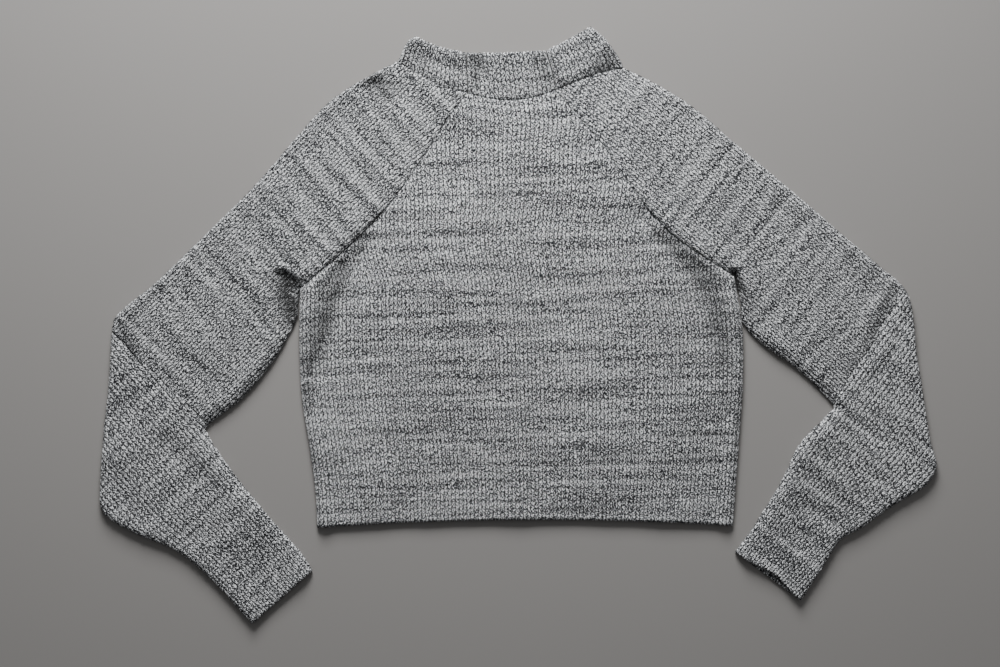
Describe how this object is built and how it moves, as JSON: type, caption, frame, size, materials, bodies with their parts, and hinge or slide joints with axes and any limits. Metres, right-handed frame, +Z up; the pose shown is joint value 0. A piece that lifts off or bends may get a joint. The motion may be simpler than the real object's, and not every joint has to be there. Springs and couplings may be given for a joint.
{
  "type": "cropped knit sweater laid flat",
  "caption": "Cropped marl-grey knit sweater with raglan sleeves, full bent forearms, narrow cuffs and a funnel neck, laid flat front up.",
  "frame": {"origin": "on the surface the sweater lies on, under the middle of its bounding box", "axes": "+X across the sweater from cuff to cuff, the viewer's right with the neck away; +Y from the hem to the neck; +Z up, out of the laid cloth"},
  "size_m": [0.9428, 0.672, 0.0124],
  "materials": {
    "back": "soft matt knit, black and white marl",
    "front": "soft matt knit, black and white marl",
    "sleeve_left": "soft matt knit, black and white marl",
    "sleeve_right": "soft matt knit, black and white marl",
    "neck_back": "soft matt knit, black and white marl",
    "neck_front": "soft matt knit, black and white marl",
    "neck_left": "soft matt knit, black and white marl",
    "neck_right": "soft matt knit, black and white marl"
  },
  "bodies": {
    "root": {"back": "back", "front": "front", "sleeve_left": "sleeve_left", "sleeve_right": "sleeve_right", "neck_back": "neck_back", "neck_front": "neck_front", "neck_left": "neck_left", "neck_right": "neck_right"}
  },
  "joints": []
}
